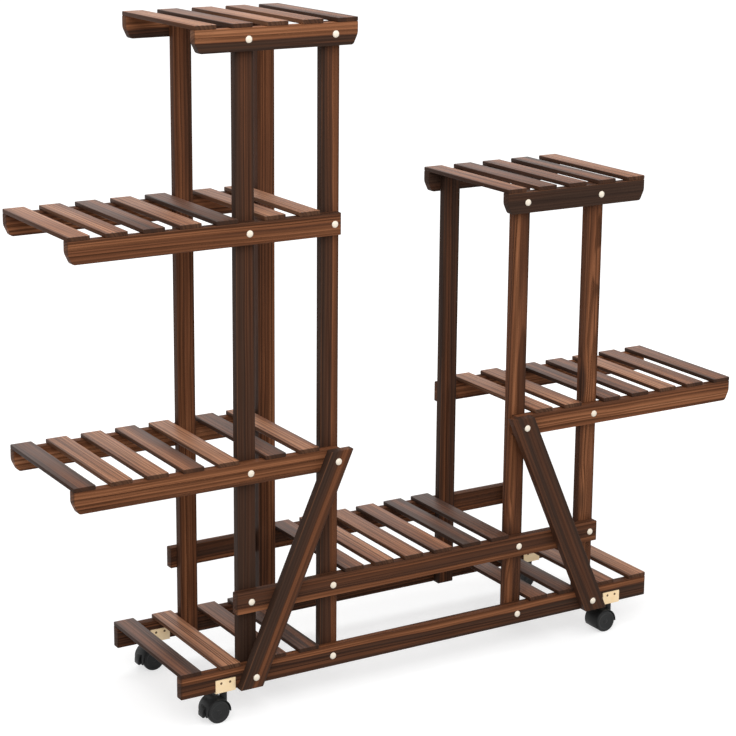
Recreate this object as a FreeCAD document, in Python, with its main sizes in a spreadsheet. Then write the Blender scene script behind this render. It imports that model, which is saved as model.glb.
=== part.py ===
import FreeCAD, Part

import enum
import math
import os
import re

import Sketcher

# Rolling plant stand: two plank towers, one tall and one short, joined by low rails and base rails,
# with slatted shelves, two front braces and four hooded twin-wheel casters.
# Millimetres. +X runs from the tall tower to the short one, +Y to the back, +Z up from the floor.
# The origin lies on the floor, under the middle of the whole stand.

SIZES = {
    # Boards
    "post_width": 31,
    "post_thickness": 15,
    "rail_height": 35,
    "rail_thickness": 15,
    "left_brace_width": 36,
    "right_brace_width": 40,
    "brace_thickness": 15,
    "edge_ease": 1.2,
    # Where the boards stand and how far they reach past the bolts
    "stand_depth": 250,
    "post_spacing": 148,
    "tower_gap": 362,
    "shelf_reach": 296,
    "shelf_tail": 11,
    "top_reach": 89,
    "top_tail": 39,
    "low_left_tail": 26,
    "low_right_tail": 14.5,
    "base_reach": 125,
    "nose_length": 8,
    "nose_height": 17,
    # Bolt lines above the bolt line of the base rails
    "low_rise": 121,
    "shelf_rise": 332,
    "upper_rise": 709,
    "top_rise": 1000,
    # Slats
    "slat_width": 36,
    "slat_thickness": 7,
    "slat_ease": 1,
    "slat_post_gap": 4.5,
    "low_slat_gap": 6,
    "bay_slat_gap": 24,
    # Bolts and the insert nuts sunk in the posts
    "bolt_radius": 3,
    "bolt_clearance": 0.25,
    "bolt_head_radius": 5.5,
    "bolt_head_height": 2.8,
    "bolt_dome": 2.4,
    "insert_radius": 4.5,
    "insert_length": 11,
    "insert_fit": 0.05,
    "insert_gap": 0.3,
    # Caster brackets and stems
    "bracket_gap": 2.8,
    "bracket_width": 35,
    "bracket_height": 20,
    "bracket_thickness": 1.5,
    "bracket_hole_radius": 1.6,
    "bracket_hole_spacing": 15.5,
    "bracket_hole_drop": 5.7,
    "stem_radius": 4,
    "stem_depth": 24,
    "stem_fit": 0.05,
    "collar_radius": 5.5,
    "collar_gap": 0.3,
    # Casters
    "swivel_gap": 1,
    "neck_height": 7.3,
    "trail": 15,
    "boss_radius": 6,
    "boss_drop": 6,
    "hood_clearance": 0.7,
    "hood_wall": 1.5,
    "hood_ease": 1,
    "hood_front_drop": 1.5,
    "hood_lip_drop": 10,
    "web_drop": 10,
    "wheel_radius": 19,
    "wheel_thickness": 10,
    "wheel_gap": 0.5,
    "tread_ease": 2,
    "dish_rim": 4,
    "dish_depth": 0.8,
    "axle_radius": 3,
    "axle_fit": 0.05,
    "axle_cap": 3.5,
}

# How many slats lie on each stretch of a shelf
SIDE_SLATS, TOP_SLATS, LOW_SLATS, BASE_SLATS = 5, 5, 6, 2

# Edges at least this share of a board's longest edge run along the grain and are eased
LONG_EDGE_SHARE = 0.6

# Places worked out from the sizes
OUTER_POST = "(tower_gap / 2 + post_spacing)"
INNER_POST = "(tower_gap / 2)"
HOOD_RADIUS = "(wheel_radius + hood_clearance + hood_wall)"
NECK_TOP = f"({HOOD_RADIUS} + neck_height - swivel_gap)"
RAIL_UNDERSIDE = f"(wheel_radius + {HOOD_RADIUS} + neck_height + bracket_thickness)"
BASE_LEVEL = f"({RAIL_UNDERSIDE} + rail_height / 2)"
CASTER_HALF = "(boss_radius + wheel_gap + wheel_thickness)"
FRONT_REACH = "(brace_thickness + bolt_head_height)"
BACK_REACH = f"({CASTER_HALF} - rail_thickness / 2)"
MIDDLE = f"(({FRONT_REACH} - {BACK_REACH}) / 2)"
FRONT_FACE = f"({MIDDLE} - stand_depth / 2)"
BACK_FACE = f"({MIDDLE} + stand_depth / 2)"
LEAN = "(post_spacing / shelf_rise)"
BRACE_RUNOUT = f"({LEAN} * rail_height / 2)"
RISES = {"base": "0", "low": "low_rise", "shelf": "shelf_rise", "upper": "upper_rise", "top": "top_rise"}


class Axis(enum.IntEnum):
    """A sketch's own axes, as its constraints number them."""
    HORIZONTAL = -1
    VERTICAL = -2


class Point(enum.IntEnum):
    """The points of a sketched edge. An arc runs anticlockwise, so one over the top starts on the right."""
    START = 1
    END = 2
    CENTRE = 3
    RIGHT_END = START
    LEFT_END = END


doc = FreeCAD.newDocument("rolling_plant_stand")
sheet = doc.addObject("Spreadsheet::Sheet", "Sizes")
for row, (alias, size) in enumerate(SIZES.items(), start=1):
    sheet.set(f"A{row}", alias)
    sheet.set(f"B{row}", str(size))
    sheet.setAlias(f"B{row}", alias)
doc.recompute()

parts = []


def formula(text):
    """An expression that reads the sheet, from one written with bare aliases."""
    return re.sub(r"[a-z]\w*", lambda word: f"Sizes.{word[0]}" if word[0] in SIZES else word[0], str(text))


def number(text):
    """The present value of an expression."""
    return float(sheet.evalExpression(formula(text)))


def bind(item, **formulas):
    """Bind properties of an object to the sheet."""
    for name, text in formulas.items():
        item.setExpression(name, formula(text))


def turn_round(item):
    """Turn an object half a turn about the vertical."""
    half_turn = FreeCAD.Rotation(FreeCAD.Vector(0, 0, 1), 180)
    item.Placement = FreeCAD.Placement(item.Placement.Base, half_turn)


def place(item, x="0", y="0", z="0"):
    """Bind an object's place to the sheet."""
    for axis, text in zip("xyz", (x, y, z)):
        item.setExpression(f"Placement.Base.{axis}", formula(text))


def keep(item, label):
    """Name an object as a sub-part of its own."""
    item.Label = label
    parts.append(item)
    return item


def new_body(name):
    body = doc.addObject("PartDesign::Body", name)
    body.AllowCompound = True
    return body


def new_sketch(body, plane, name, height=None):
    """A sketch on one of the body's own origin planes, raised by a height where one is given."""
    sketch = body.newObject("Sketcher::SketchObject", name)
    origin = next(item for item in body.Origin.OriginFeatures if item.Role == plane)
    sketch.AttachmentSupport = (origin, [""])
    sketch.MapMode = "FlatFace"
    if height is not None:
        sketch.setExpression("AttachmentOffset.Base.z", formula(height))
    return sketch


def hold(sketch, expression, kind, *geometry):
    """Add a constraint whose value follows an expression."""
    value = float(sheet.evalExpression(expression))
    index = sketch.addConstraint(Sketcher.Constraint(kind, *geometry, value))
    sketch.setExpression(f"Constraints[{index}]", expression)


def fix_point(sketch, geometry, vertex, x, y):
    """Hold a sketch point at a place given by two expressions."""
    for kind, axis, text in (("DistanceX", Axis.VERTICAL, x), ("DistanceY", Axis.HORIZONTAL, y)):
        if text == "0":
            sketch.addConstraint(Sketcher.Constraint("PointOnObject", geometry, vertex, axis))
        else:
            hold(sketch, formula(text), kind, geometry, vertex)


def outline(sketch, points):
    """A closed outline of straight edges through points given as pairs of expressions."""
    corners = [FreeCAD.Vector(number(x), number(y), 0) for x, y in points]
    edges = []
    for corner, following in zip(corners, corners[1:] + corners[:1]):
        edges.append(sketch.addGeometry(Part.LineSegment(corner, following)))
    for edge, following, (x, y) in zip(edges, edges[1:] + edges[:1], points[1:] + points[:1]):
        sketch.addConstraint(Sketcher.Constraint("Coincident", edge, Point.END, following, Point.START))
        fix_point(sketch, following, Point.START, x, y)


def circle(sketch, x, y, radius):
    """A circle with its centre and radius given as expressions."""
    centre = FreeCAD.Vector(number(x), number(y), 0)
    index = sketch.addGeometry(Part.Circle(centre, FreeCAD.Vector(0, 0, 1), number(radius)))
    fix_point(sketch, index, Point.CENTRE, x, y)
    hold(sketch, formula(radius), "Radius", index)


def pad(body, sketch, length, both_ways=False, reverse=False):
    feature = body.newObject("PartDesign::Pad", f"{sketch.Name}_pad")
    feature.Profile = sketch
    feature.SideType = "Symmetric" if both_ways else "One side"
    feature.Reversed = reverse
    bind(feature, Length=length)
    doc.recompute()
    return feature


def pocket(body, sketch, length):
    """A blind cut, down from the sketch."""
    feature = body.newObject("PartDesign::Pocket", f"{sketch.Name}_pocket")
    feature.Profile = sketch
    bind(feature, Length=length)
    doc.recompute()


def cut_through(body, sketch):
    """A cut right through the body, to both sides of the sketch."""
    feature = body.newObject("PartDesign::Pocket", f"{sketch.Name}_cut")
    feature.Profile = sketch
    feature.SideType = "Symmetric"
    feature.Type = "ThroughAll"
    doc.recompute()
    return feature


def revolve(body, sketch):
    """A full turn about the sketch's vertical axis."""
    feature = body.newObject("PartDesign::Revolution", f"{sketch.Name}_turn")
    feature.Profile = sketch
    feature.ReferenceAxis = (sketch, ["V_Axis"])
    doc.recompute()
    return feature


def ease_long_edges(body, feature, size):
    """Chamfer the edges that run along a board's grain."""
    lengths = [edge.Length for edge in feature.Shape.Edges]
    straight = [edge.Curve.TypeId == "Part::GeomLine" for edge in feature.Shape.Edges]
    least = LONG_EDGE_SHARE * max(length for length, is_line in zip(lengths, straight) if is_line)
    names = [f"Edge{n}" for n, (length, is_line) in enumerate(zip(lengths, straight), start=1)
             if is_line and length >= least]
    chamfer = body.newObject("PartDesign::Chamfer", f"{body.Name}_ease")
    chamfer.Base = (feature, names)
    bind(chamfer, Size=size)
    doc.recompute()


def round_rims(body, feature, radius, places, size):
    """Fillet the round edges of one radius that lie at these places along Y."""
    depths = [number(place_y) for place_y in places]
    names = []
    for index, edge in enumerate(feature.Shape.Edges, start=1):
        if edge.Curve.TypeId != "Part::GeomCircle" or not math.isclose(edge.Curve.Radius, number(radius)):
            continue
        if any(math.isclose(edge.Curve.Center.y, depth) for depth in depths):
            names.append(f"Edge{index}")
    fillet = body.newObject("PartDesign::Fillet", f"{body.Name}_round")
    fillet.Base = (feature, names)
    bind(fillet, Radius=size)
    doc.recompute()


def board(label, points, holes, thickness, x, y, z):
    """A flat board: its front outline, its bolt holes and its eased long edges."""
    body = new_body(label)
    sketch = new_sketch(body, "XZ_Plane", f"{label}_front")
    outline(sketch, points)
    for hole_x, hole_z in holes:
        circle(sketch, hole_x, hole_z, "bolt_radius + bolt_clearance")
    ease_long_edges(body, pad(body, sketch, thickness, reverse=True), "edge_ease")
    place(body, x, y, z)
    return keep(body, label)


def post(label, levels, x, y, at_back):
    """An upright from the base rail's lower edge to the underside of the top slats, bored for insert nuts."""
    half = "post_width / 2"
    foot = "-rail_height / 2"
    head = f"{RISES[levels[-1]]} + rail_height / 2"
    points = [(f"-{half}", foot), (half, foot), (half, head), (f"-{half}", head)]
    body = board(label, points, [], "post_thickness", x, y, BASE_LEVEL)
    holes = new_sketch(body, "XZ_Plane", f"{label}_insert_holes")
    for level in levels:
        circle(holes, "0", RISES[level], "insert_radius + insert_fit")
    pocket(body, holes, "insert_length + insert_gap")
    if at_back:
        turn_round(body)


def rail(label, start, stop, noses, bolts, x, y, level):
    """A shelf rail, with a sloping lower corner at each end named in noses."""
    top, bottom = "rail_height / 2", "-rail_height / 2"
    shoulder = f"{bottom} + nose_height"
    start_end, stop_end = [(start, bottom)], [(stop, bottom)]
    if "start" in noses:
        start_end = [(start, shoulder), (f"{start} + nose_length", bottom)]
    if "stop" in noses:
        stop_end = [(f"{stop} - nose_length", bottom), (stop, shoulder)]
    points = [(start, top), *start_end, *stop_end, (stop, top)]
    holes = [(bolt, "0") for bolt in bolts]
    board(label, points, holes, "rail_thickness", x, y, f"{BASE_LEVEL} + {RISES[level]}")


def brace_half(width):
    """Half of a brace's level end."""
    return f"({width} / 2 * sqrt(1 + {LEAN} ^ 2))"


def brace(label, width, side, x):
    """A sloping front board from a base bolt up to a shelf bolt, cut level at both ends."""
    half = brace_half(width)
    foot = f"{-side} * {BRACE_RUNOUT}"
    head = f"{side} * (post_spacing + {BRACE_RUNOUT})"
    low, high = "-rail_height / 2", "shelf_rise + rail_height / 2"
    points = [(f"{foot} - {half}", low), (f"{foot} + {half}", low),
              (f"{head} + {half}", high), (f"{head} - {half}", high)]
    holes = [("0", "0"), (f"{side} * post_spacing", "shelf_rise")]
    board(label, points, holes, "brace_thickness", x, f"{FRONT_FACE} - brace_thickness", BASE_LEVEL)


def slat_run(start, stop, count):
    """Left edges of slats spread evenly from one place to another."""
    step = f"(({stop}) - ({start}) - slat_width) / {count - 1}"
    return [f"({start}) + {index} * {step}" for index in range(count)]


def slat_pair(centre):
    """Left edges of the two slats between the posts of a tower."""
    return [f"{centre} - bay_slat_gap / 2 - slat_width", f"{centre} + bay_slat_gap / 2"]


def slats(label, lefts, level):
    """The slats of one shelf, laid across the rails with their edges eased."""
    body = new_body(label)
    sketch = new_sketch(body, "XZ_Plane", f"{label}_ends")
    eased_top = "slat_thickness - slat_ease"
    for left in lefts:
        right = f"{left} + slat_width"
        eased_left, eased_right = f"{left} + slat_ease", f"{right} - slat_ease"
        outline(sketch, [(eased_left, "0"), (eased_right, "0"), (right, "slat_ease"), (right, eased_top),
                         (eased_right, "slat_thickness"), (eased_left, "slat_thickness"),
                         (left, eased_top), (left, "slat_ease")])
    pad(body, sketch, "stand_depth", reverse=True)
    place(body, "0", FRONT_FACE, f"{BASE_LEVEL} + {RISES[level]} + rail_height / 2")
    return keep(body, label)


def bolt(name, grip):
    """A domed bolt along +Y, its head's underside at zero and its end level with the insert nut's."""
    body = new_body(name)
    sketch = new_sketch(body, "XY_Plane", f"{name}_half")
    end = f"{grip} + insert_length"
    outline(sketch, [("0", "-bolt_head_height"), ("bolt_head_radius", "-bolt_head_height"),
                     ("bolt_head_radius", "0"), ("bolt_radius", "0"), ("bolt_radius", end), ("0", end)])
    round_rims(body, revolve(body, sketch), "bolt_head_radius", ["-bolt_head_height"], "bolt_dome")
    return body


def insert_nut():
    """A sleeve along +Y, from zero, with a clear bore."""
    body = new_body("insert_nut")
    sketch = new_sketch(body, "XZ_Plane", "insert_nut_face")
    circle(sketch, "0", "0", "insert_radius")
    circle(sketch, "0", "0", "bolt_radius + insert_fit")
    pad(body, sketch, "insert_length", reverse=True)
    return body


def copies(label, body, places):
    """A sub-part made of copies of one body, each at its own place, turned round at the back."""
    links = []
    for copy, (x, y, z, at_back) in enumerate(places, start=1):
        link = doc.addObject("App::Link", f"{label}_{copy}")
        link.LinkedObject = body
        place(link, x, y, z)
        if at_back:
            turn_round(link)
        links.append(link)
    group = doc.addObject("Part::Compound", label)
    group.Links = links
    return keep(group, label)


def caster_bracket(label, x, y):
    """A U-shaped clip round the rail's lower edge, with screw holes and the stem's hole."""
    body = new_body(label)
    section = new_sketch(body, "YZ_Plane", f"{label}_section")
    inner, outer = "rail_thickness / 2", "(rail_thickness / 2 + bracket_thickness)"
    outline(section, [(f"-{outer}", "-bracket_thickness"), (outer, "-bracket_thickness"),
                      (outer, "bracket_height"), (inner, "bracket_height"), (inner, "0"),
                      (f"-{inner}", "0"), (f"-{inner}", "bracket_height"), (f"-{outer}", "bracket_height")])
    pad(body, section, "bracket_width", both_ways=True)
    screws = new_sketch(body, "XZ_Plane", f"{label}_screw_holes")
    for side in (-1, 1):
        circle(screws, f"{side} * bracket_hole_spacing / 2", "bracket_height - bracket_hole_drop",
               "bracket_hole_radius")
    cut_through(body, screws)
    seat = new_sketch(body, "XY_Plane", f"{label}_stem_hole")
    circle(seat, "0", "0", "stem_radius + stem_fit")
    cut_through(body, seat)
    place(body, x, y, RAIL_UNDERSIDE)
    return keep(body, label)


def caster_stem(label, x, y):
    """The riveted pin that the hood turns on, with its collar under the bracket."""
    body = new_body(label)
    half = new_sketch(body, "XZ_Plane", f"{label}_half")
    seat = "-bracket_thickness"
    collar = "collar_gap - bracket_thickness - swivel_gap"
    outline(half, [("0", "0"), ("stem_radius", "0"), ("stem_radius", seat), ("collar_radius", seat),
                   ("collar_radius", collar), ("stem_radius", collar), ("stem_radius", "-stem_depth"),
                   ("0", "-stem_depth")])
    revolve(body, half)
    place(body, x, y, RAIL_UNDERSIDE)
    return keep(body, label)


def arch(sketch, centre_x, radius, right_height, left_height):
    """An arc over the top of a centre on the horizontal axis, with each end held at a height."""
    ends = []
    for side, height in ((1, right_height), (-1, left_height)):
        ends.append((f"{centre_x} + {side} * sqrt(({radius}) ^ 2 - ({height}) ^ 2)", height))
    points = [FreeCAD.Vector(number(x), number(y), 0) for x, y in (ends[0], (centre_x, radius), ends[1])]
    index = sketch.addGeometry(Part.Arc(*points))
    fix_point(sketch, index, Point.CENTRE, centre_x, "0")
    hold(sketch, formula(radius), "Radius", index)
    hold(sketch, formula(right_height), "DistanceY", index, Point.RIGHT_END)
    hold(sketch, formula(left_height), "DistanceY", index, Point.LEFT_END)
    return index


def join(sketch, first, first_end, second, second_end):
    """A straight edge from an end of one arc to an end of another."""
    ends = (sketch.getPoint(first, first_end), sketch.getPoint(second, second_end))
    edge = sketch.addGeometry(Part.LineSegment(*ends))
    sketch.addConstraint(Sketcher.Constraint("Coincident", edge, Point.START, first, first_end))
    sketch.addConstraint(Sketcher.Constraint("Coincident", edge, Point.END, second, second_end))


def caster_hood(label, x, y):
    """The moulded fork: a fender over both wheels, the web between them and the stem's boss."""
    body = new_body(label)
    axle_x = "-trail"
    inner = "(wheel_radius + hood_clearance)"
    fender = new_sketch(body, "XZ_Plane", f"{label}_fender")
    outside = arch(fender, axle_x, HOOD_RADIUS, "-hood_front_drop", "-hood_lip_drop")
    inside = arch(fender, axle_x, inner, "-hood_front_drop", "-hood_lip_drop")
    for end in (Point.RIGHT_END, Point.LEFT_END):
        join(fender, outside, end, inside, end)
    pad(body, fender, f"2 * {CASTER_HALF}", both_ways=True)
    web = new_sketch(body, "XZ_Plane", f"{label}_web")
    rim = arch(web, axle_x, f"({inner} + hood_wall / 2)", "-web_drop", "-web_drop")
    join(web, rim, Point.RIGHT_END, rim, Point.LEFT_END)
    pad(body, web, "2 * boss_radius", both_ways=True)
    boss = new_sketch(body, "XY_Plane", f"{label}_boss", "-boss_drop")
    circle(boss, "0", "0", "boss_radius")
    pad(body, boss, f"{NECK_TOP} + boss_drop")
    bore = new_sketch(body, "XY_Plane", f"{label}_bore", NECK_TOP)
    circle(bore, "0", "0", "stem_radius + stem_fit")
    pocket(body, bore, "stem_depth - bracket_thickness - swivel_gap + collar_gap")
    axle_hole = new_sketch(body, "XZ_Plane", f"{label}_axle_hole")
    circle(axle_hole, axle_x, "0", "axle_radius + axle_fit")
    drilled = cut_through(body, axle_hole)
    round_rims(body, drilled, HOOD_RADIUS, [f"-{CASTER_HALF}", CASTER_HALF], "hood_ease")
    place(body, x, y, "wheel_radius")
    return keep(body, label)


def caster_axle(label, x, y):
    """The pin pressed through the web, ending inside the wheels' caps."""
    body = new_body(label)
    section = new_sketch(body, "XZ_Plane", f"{label}_section")
    circle(section, "0", "0", "axle_radius")
    pad(body, section, f"2 * ({CASTER_HALF} - axle_cap - axle_fit)", both_ways=True)
    place(body, f"{x} - trail", y, "wheel_radius")
    return keep(body, label)


def caster_wheel(label, x, y, side):
    """A dished wheel with an eased tread, closed on the outside and bored from the inside."""
    body = new_body(label)
    half = new_sketch(body, "XY_Plane", f"{label}_half")
    inside = f"{side} * (boss_radius + wheel_gap)"
    outside = f"{side} * {CASTER_HALF}"
    shoulder = f"{side} * ({CASTER_HALF} - tread_ease)"
    cap = f"{side} * ({CASTER_HALF} - axle_cap)"
    floor = f"{side} * ({CASTER_HALF} - dish_depth)"
    bore = "axle_radius + axle_fit"
    outline(half, [("0", cap), (bore, cap), (bore, inside), ("wheel_radius", inside),
                   ("wheel_radius", shoulder), ("wheel_radius - tread_ease", outside),
                   ("wheel_radius - dish_rim", outside), ("wheel_radius - dish_rim - dish_depth", floor),
                   ("0", floor)])
    revolve(body, half)
    place(body, f"{x} - trail", y, "wheel_radius")
    return keep(body, label)


# Posts
TALL, SHORT = ("base", "low", "shelf", "upper", "top"), ("base", "low", "shelf", "upper")
POSTS = {
    "left_outer": (f"-{OUTER_POST}", TALL),
    "left_inner": (f"-{INNER_POST}", TALL),
    "right_inner": (INNER_POST, SHORT),
    "right_outer": (OUTER_POST, SHORT),
}
POST_ROWS = {"front": (f"({FRONT_FACE} + rail_thickness)", False),
             "back": (f"({BACK_FACE} - rail_thickness)", True)}
for row_name, (row_y, at_back) in POST_ROWS.items():
    for post_name, (post_x, levels) in POSTS.items():
        post(f"{row_name}_{post_name}_post", levels, post_x, row_y, at_back)

# Rails: start, stop, sloping ends, bolts, the place that these are measured from, and the level
LEFT_BOLTS, RIGHT_BOLTS = ["0", "post_spacing"], ["-post_spacing", "0"]
ALL_BOLTS = [f"-{OUTER_POST}", f"-{INNER_POST}", INNER_POST, OUTER_POST]
BOTH_ENDS = ("start", "stop")
RAILS = {
    "left_top": ("-top_reach", "post_spacing + top_tail", BOTH_ENDS, LEFT_BOLTS, f"-{OUTER_POST}", "top"),
    "left_second": ("-shelf_reach", "post_spacing + shelf_tail", BOTH_ENDS[:1], LEFT_BOLTS,
                    f"-{OUTER_POST}", "upper"),
    "left_third": ("-shelf_reach", "post_spacing + shelf_tail", BOTH_ENDS[:1], LEFT_BOLTS,
                   f"-{OUTER_POST}", "shelf"),
    "right_top": ("-post_spacing - top_tail", "top_reach", BOTH_ENDS, RIGHT_BOLTS, OUTER_POST, "upper"),
    "right_middle": ("-post_spacing - shelf_tail", "shelf_reach", BOTH_ENDS[1:], RIGHT_BOLTS,
                     OUTER_POST, "shelf"),
    "low": (f"-{OUTER_POST} - low_left_tail", f"{OUTER_POST} + low_right_tail", (), ALL_BOLTS, "0", "low"),
    "base": (f"-{OUTER_POST} - base_reach", f"{OUTER_POST} + base_reach", (), ALL_BOLTS, "0", "base"),
}
RAIL_ROWS = {"front": FRONT_FACE, "back": f"{BACK_FACE} - rail_thickness"}
for row_name, row_y in RAIL_ROWS.items():
    for rail_name, (start, stop, noses, bolts, rail_x, level) in RAILS.items():
        rail(f"{row_name}_{rail_name}_rail", start, stop, noses, bolts, rail_x, row_y, level)

# Braces
brace("left_brace", "left_brace_width", 1, f"-{OUTER_POST}")
brace("right_brace", "right_brace_width", -1, OUTER_POST)

# Slats
LEFT_BAY = f"(-{OUTER_POST} + post_spacing / 2)"
RIGHT_BAY = f"({OUTER_POST} - post_spacing / 2)"
POST_EDGE = "(post_width / 2 + slat_post_gap)"
LEFT_SIDE = (f"-{OUTER_POST} - shelf_reach", f"-{OUTER_POST} - {POST_EDGE}", SIDE_SLATS)
RIGHT_SIDE = (f"{OUTER_POST} + {POST_EDGE}", f"{OUTER_POST} + shelf_reach", SIDE_SLATS)
LOW_EDGE = f"({INNER_POST} - post_width / 2 - low_slat_gap)"
SHELVES = {
    "left_top": (slat_run(f"-{OUTER_POST} - top_reach", f"-{INNER_POST} + top_tail", TOP_SLATS), "top"),
    "left_second": (slat_run(*LEFT_SIDE) + slat_pair(LEFT_BAY), "upper"),
    "left_third": (slat_run(*LEFT_SIDE) + slat_pair(LEFT_BAY), "shelf"),
    "right_top": (slat_run(f"{INNER_POST} - top_tail", f"{OUTER_POST} + top_reach", TOP_SLATS), "upper"),
    "right_middle": (slat_pair(RIGHT_BAY) + slat_run(*RIGHT_SIDE), "shelf"),
    "low": (slat_run(f"-{LOW_EDGE}", LOW_EDGE, LOW_SLATS), "low"),
    "left_base": (slat_run(f"-{OUTER_POST} - base_reach", LEFT_SIDE[1], BASE_SLATS)
                  + slat_pair(LEFT_BAY), "base"),
    "right_base": (slat_pair(RIGHT_BAY)
                   + slat_run(RIGHT_SIDE[0], f"{OUTER_POST} + base_reach", BASE_SLATS), "base"),
}
for shelf_name, (lefts, level) in SHELVES.items():
    slats(f"{shelf_name}_slats", lefts, level)

# Bolts through the rails, the longer ones through the braces too, and insert nuts in the posts
BRACED = {("left_outer", "base"), ("left_inner", "shelf"), ("right_inner", "shelf"), ("right_outer", "base")}
short_places, long_places, insert_places = [], [], []
for post_name, (post_x, levels) in POSTS.items():
    for level in levels:
        bolt_z = f"{BASE_LEVEL} + {RISES[level]}"
        short_places.append((post_x, BACK_FACE, bolt_z, True))
        for row_y, at_back in POST_ROWS.values():
            insert_places.append((post_x, row_y, bolt_z, at_back))
        if (post_name, level) in BRACED:
            long_places.append((post_x, f"{FRONT_FACE} - brace_thickness", bolt_z, False))
        else:
            short_places.append((post_x, FRONT_FACE, bolt_z, False))
copies("rail_bolts", bolt("rail_bolt", "rail_thickness"), short_places)
copies("brace_bolts", bolt("brace_bolt", "(brace_thickness + rail_thickness)"), long_places)
copies("insert_nuts", insert_nut(), insert_places)

# Casters under the base rails, beside the feet of the braces, each trailing to the left
CASTER_ROWS = {"front": f"({FRONT_FACE} + rail_thickness / 2)", "back": f"({BACK_FACE} - rail_thickness / 2)"}
BRACKET_START = f"{OUTER_POST} + {BRACE_RUNOUT} + bracket_gap + bracket_width / 2"
CASTER_SIDES = {"left": f"-({BRACKET_START} + {brace_half('left_brace_width')})",
                "right": f"({BRACKET_START} + {brace_half('right_brace_width')})"}
for row_name, row_y in CASTER_ROWS.items():
    for side_name, stem_x in CASTER_SIDES.items():
        corner = f"{row_name}_{side_name}"
        caster_bracket(f"{corner}_caster_bracket", stem_x, row_y)
        caster_stem(f"{corner}_caster_stem", stem_x, row_y)
        caster_hood(f"{corner}_caster_hood", stem_x, row_y)
        caster_axle(f"{corner}_caster_axle", stem_x, row_y)
        caster_wheel(f"{corner}_caster_front_wheel", stem_x, row_y, -1)
        caster_wheel(f"{corner}_caster_back_wheel", stem_x, row_y, 1)

doc.recompute()
faulty = [item.Name for item in doc.Objects if "Invalid" in item.State or "Error" in item.State]
if faulty:
    raise RuntimeError(f"objects that didn't recompute: {faulty}")
os.makedirs("parts", exist_ok=True)
for item in parts:
    if item.Shape.isNull() or not item.Shape.isValid() or not item.Shape.Solids:
        raise RuntimeError(f"no valid solid in {item.Label}")
    item.Shape.exportStep(f"parts/{item.Label}.step")
print(f"{len(parts)} sub-parts written")
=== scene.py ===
import math

import bmesh
import bpy
from mathutils import Euler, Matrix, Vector


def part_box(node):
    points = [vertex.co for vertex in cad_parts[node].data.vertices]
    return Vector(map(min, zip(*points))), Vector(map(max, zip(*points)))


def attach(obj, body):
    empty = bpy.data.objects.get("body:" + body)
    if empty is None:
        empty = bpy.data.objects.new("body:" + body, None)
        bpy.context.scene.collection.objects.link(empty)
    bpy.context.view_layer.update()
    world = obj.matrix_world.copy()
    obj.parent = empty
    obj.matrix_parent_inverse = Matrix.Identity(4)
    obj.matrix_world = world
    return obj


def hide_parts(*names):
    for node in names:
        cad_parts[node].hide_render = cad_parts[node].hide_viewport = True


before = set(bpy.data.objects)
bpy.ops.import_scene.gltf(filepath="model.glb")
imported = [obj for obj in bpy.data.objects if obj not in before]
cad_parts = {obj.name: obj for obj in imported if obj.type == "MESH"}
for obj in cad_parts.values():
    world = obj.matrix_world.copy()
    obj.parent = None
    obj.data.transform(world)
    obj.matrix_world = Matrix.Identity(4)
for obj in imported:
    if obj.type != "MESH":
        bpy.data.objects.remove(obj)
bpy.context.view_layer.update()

MM = 0.001


# Node trees

class Socket:
    """An output of a node. A sum on it adds a Math node."""

    def __init__(self, nodes, output):
        self.nodes, self.output = nodes, output

    def __add__(self, other):
        return self.nodes.sum("ADD", self, other)

    def __radd__(self, other):
        return self.nodes.sum("ADD", other, self)

    def __sub__(self, other):
        return self.nodes.sum("SUBTRACT", self, other)

    def __rsub__(self, other):
        return self.nodes.sum("SUBTRACT", other, self)

    def __mul__(self, other):
        return self.nodes.sum("MULTIPLY", self, other)

    def __rmul__(self, other):
        return self.nodes.sum("MULTIPLY", other, self)

    def __truediv__(self, other):
        return self.nodes.sum("DIVIDE", self, other)

    def __rtruediv__(self, other):
        return self.nodes.sum("DIVIDE", other, self)

    def __gt__(self, other):
        return self.nodes.sum("GREATER_THAN", self, other)

    def __lt__(self, other):
        return self.nodes.sum("LESS_THAN", self, other)

    def __abs__(self):
        return self.nodes.sum("ABSOLUTE", self)


class Nodes:
    """A node tree that grows by nodes and by sums on their outputs."""

    def __init__(self, tree):
        self.tree = tree

    def node(self, kind, settings=None, inputs=None, output=0):
        """Add a node: its settings first, then the values or links of its sockets.

        Gives the output of that number, or all of them for None.
        """
        node = self.tree.nodes.new(kind)
        for name, value in (settings or {}).items():
            if name == "stops":
                self.set_stops(node.color_ramp, value)
            else:
                setattr(node, name, value)
        for name, value in (inputs or {}).items():
            self.feed(node.inputs[name], value)
        outputs = [Socket(self, each) for each in node.outputs]
        return outputs if output is None else outputs[output]

    def feed(self, socket, value):
        if isinstance(value, Socket):
            self.tree.links.new(value.output, socket)
        else:
            socket.default_value = value

    @staticmethod
    def set_stops(ramp, stops):
        while len(ramp.elements) < len(stops):
            ramp.elements.new(1)
        for element, (place, colour) in zip(ramp.elements, stops):
            element.position = place
            element.color = (*colour, 1) if isinstance(colour, tuple) else (colour, colour, colour, 1)

    def sum(self, operation, *terms):
        return self.node("ShaderNodeMath", {"operation": operation}, dict(enumerate(terms)))

    def vector(self, x=0.0, y=0.0, z=0.0):
        return self.node("ShaderNodeCombineXYZ", {}, {0: x, 1: y, 2: z})

    def parts(self, vector):
        return self.node("ShaderNodeSeparateXYZ", {}, {0: vector}, None)

    def vectors(self, operation, *terms, output=0):
        return self.node("ShaderNodeVectorMath", {"operation": operation}, dict(enumerate(terms)), output)

    def rise(self, value, start, stop):
        """A soft step from 0 at start to 1 at stop."""
        return self.node("ShaderNodeMapRange", {"interpolation_type": "SMOOTHSTEP"},
                         {"Value": value, "From Min": start, "From Max": stop})


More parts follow.
